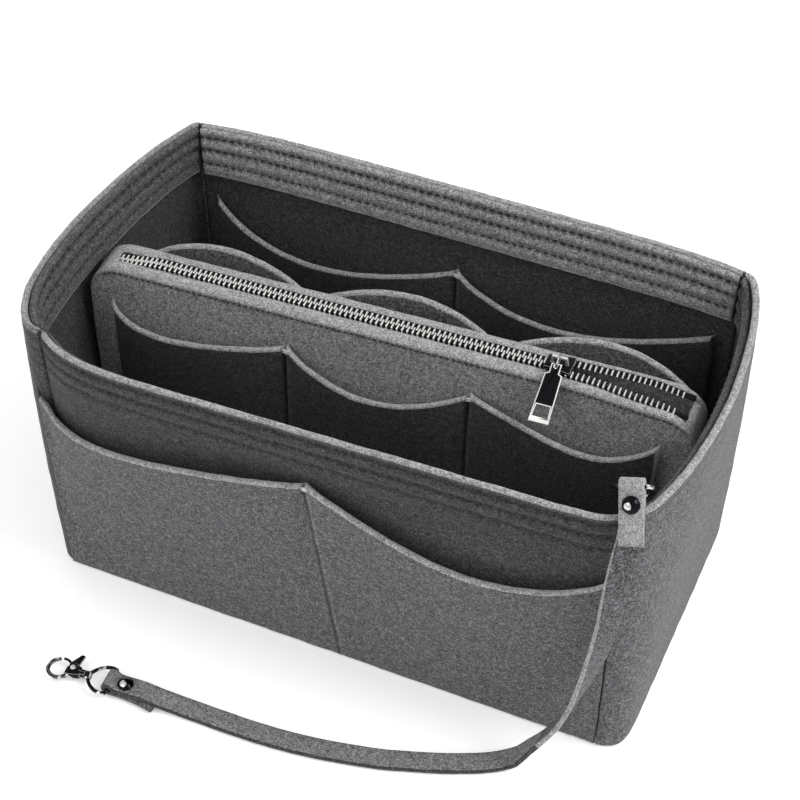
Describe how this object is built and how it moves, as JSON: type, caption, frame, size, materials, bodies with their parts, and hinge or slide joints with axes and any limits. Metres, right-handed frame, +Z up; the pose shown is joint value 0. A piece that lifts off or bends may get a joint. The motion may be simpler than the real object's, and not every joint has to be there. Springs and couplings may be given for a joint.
{
  "type": "purse organizer insert",
  "caption": "Open rectangular felt insert for a handbag with scalloped pockets, a removable zip pouch standing inside it and a key strap with swivel clasps.",
  "frame": {"origin": "on the surface that the tub stands on, midway between its corner seams left to right and front to back", "axes": "+X along the tub's length to the right, -Y towards its front, where the key strap lies, +Z up"},
  "size_m": [0.342, 0.2445, 0.1848],
  "materials": {
    "felt": "matte felt",
    "dark_felt": "matte felt",
    "zip_metal": "bright nickel",
    "gunmetal": "polished black nickel"
  },
  "bodies": {
    "tub": {"front_wall": "felt", "back_wall": "felt", "right_wall": "felt", "left_wall": "felt", "bottom_panel": "dark_felt", "hem_band_front": "dark_felt", "hem_band_back": "dark_felt", "hem_band_right": "dark_felt", "hem_band_left": "dark_felt", "front_pocket_panel": "felt", "back_pocket_panel": "dark_felt", "key_strap": "felt", "near_rivet": "gunmetal", "far_rivet": "gunmetal", "near_clasp_loop": "gunmetal", "near_clasp_hook": "gunmetal", "near_clasp_pin": "gunmetal", "anchor_ring": "gunmetal", "anchor_tab": "dark_felt"},
    "pouch": {"pouch_front_panel": "felt", "pouch_rear_panel": "felt", "pouch_right_gusset": "dark_felt", "pouch_left_gusset": "dark_felt", "pouch_bottom": "dark_felt", "pouch_front_pocket_panel": "felt", "pouch_rear_pocket_panel": "felt", "zip_tape_front": "zip_metal", "zip_tape_rear": "zip_metal"},
    "slider": {"zip_slider": "gunmetal"},
    "link": {"zip_pull_link": "gunmetal"},
    "pull": {"zip_pull": "gunmetal"},
    "near_trigger": {"near_clasp_trigger": "gunmetal"},
    "far_loop": {"far_clasp_loop": "gunmetal"},
    "far_hook": {"far_clasp_hook": "gunmetal", "far_clasp_pin": "gunmetal"},
    "far_trigger": {"far_clasp_trigger": "gunmetal"}
  },
  "joints": [
    {"name": "pouch_lift", "type": "slide", "parent": "tub", "child": "pouch", "axis": [0, 0, 1], "range_m": [0, 0.175]},
    {"name": "zip_slide", "type": "slide", "parent": "pouch", "child": "slider", "axis": [0.9987, 0.0518, 0], "range_m": [-0.22, 0.053], "deforming": ["zip_tape_front", "zip_tape_rear"]},
    {"name": "link_swing", "type": "hinge", "parent": "slider", "child": "link", "pos_m": [0.08269, 0.00575, 0.1576], "axis": [-0.9987, -0.0518, 0], "range_deg": [0, 185]},
    {"name": "pull_swing", "type": "hinge", "parent": "link", "child": "pull", "pos_m": [0.08299, 0.00001, 0.15679], "axis": [0.0235, -0.4534, 0.891], "range_deg": [-35, 35]},
    {"name": "near_trigger_hinge", "type": "hinge", "parent": "tub", "child": "near_trigger", "pos_m": [0.14666, -0.06735, 0.16223], "axis": [0.8775, -0.3944, -0.2728], "range_deg": [0, 24], "stiffness_Nm_per_rad": 0.002, "springref_deg": -17.19},
    {"name": "far_loop_hinge", "type": "hinge", "parent": "tub", "child": "far_loop", "pos_m": [-0.0882, -0.1498, 0.0049], "axis": [-0.0599, 0.9982, 0], "range_deg": [0, 100]},
    {"name": "far_swivel", "type": "hinge", "parent": "far_loop", "child": "far_hook", "pos_m": [-0.10216, -0.15063, 0.0042], "axis": [-0.997, -0.0598, -0.05], "continuous": true},
    {"name": "far_trigger_hinge", "type": "hinge", "parent": "far_hook", "child": "far_trigger", "pos_m": [-0.10998, -0.1503, 0.00381], "axis": [-0.0499, -0.003, 0.9988], "range_deg": [0, 24], "stiffness_Nm_per_rad": 0.002, "springref_deg": -17.19}
  ]
}
